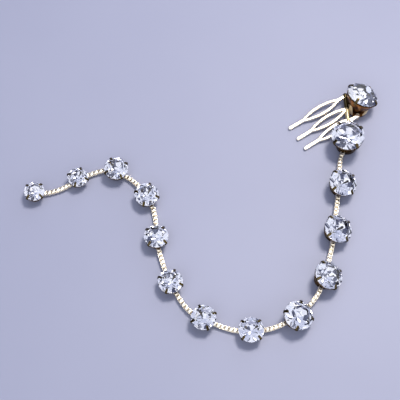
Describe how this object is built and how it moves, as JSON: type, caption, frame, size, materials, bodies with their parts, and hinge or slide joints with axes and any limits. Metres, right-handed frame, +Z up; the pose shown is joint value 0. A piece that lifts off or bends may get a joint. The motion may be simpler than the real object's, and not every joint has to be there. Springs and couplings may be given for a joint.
{
  "type": "hair comb with a strand of crystals",
  "caption": "Small gold-tone hair comb with a strand of round prong-set crystals joined by short lengths of box chain, laid in an S curve.",
  "frame": {"origin": "on the surface it lies on, under the middle of its outline", "axes": "+X along the longer side of the layout, from the free end towards the comb; +Z up from the surface; the comb's side of the layout is towards +Y"},
  "size_m": [0.1068, 0.0824, 0.0085],
  "materials": {
    "comb_metal": "gold-plated, polished",
    "setting_metal": "gold-plated, polished",
    "chain_metal": "gold-plated, bright",
    "crystal": "clear cut crystal, silver foil on the pavilion"
  },
  "bodies": {
    "root": {"comb": "comb_metal", "stone_01": "crystal", "stone_02": "crystal", "stone_03": "crystal", "stone_04": "crystal", "stone_05": "crystal", "stone_06": "crystal", "stone_07": "crystal", "stone_08": "crystal", "stone_09": "crystal", "stone_10": "crystal", "stone_11": "crystal", "stone_12": "crystal", "stone_13": "crystal", "stone_14": "crystal", "setting_03": "setting_metal", "setting_04": "setting_metal", "setting_05": "setting_metal", "setting_06": "setting_metal", "setting_07": "setting_metal", "setting_08": "setting_metal", "setting_09": "setting_metal", "setting_10": "setting_metal", "setting_11": "setting_metal", "setting_12": "setting_metal", "setting_13": "setting_metal", "setting_14": "setting_metal", "chain_02_03": "chain_metal", "chain_03_04": "chain_metal", "chain_04_05": "chain_metal", "chain_05_06": "chain_metal", "chain_06_07": "chain_metal", "chain_07_08": "chain_metal", "chain_08_09": "chain_metal", "chain_09_10": "chain_metal", "chain_10_11": "chain_metal", "chain_11_12": "chain_metal", "chain_12_13": "chain_metal", "chain_13_14": "chain_metal"}
  },
  "joints": []
}
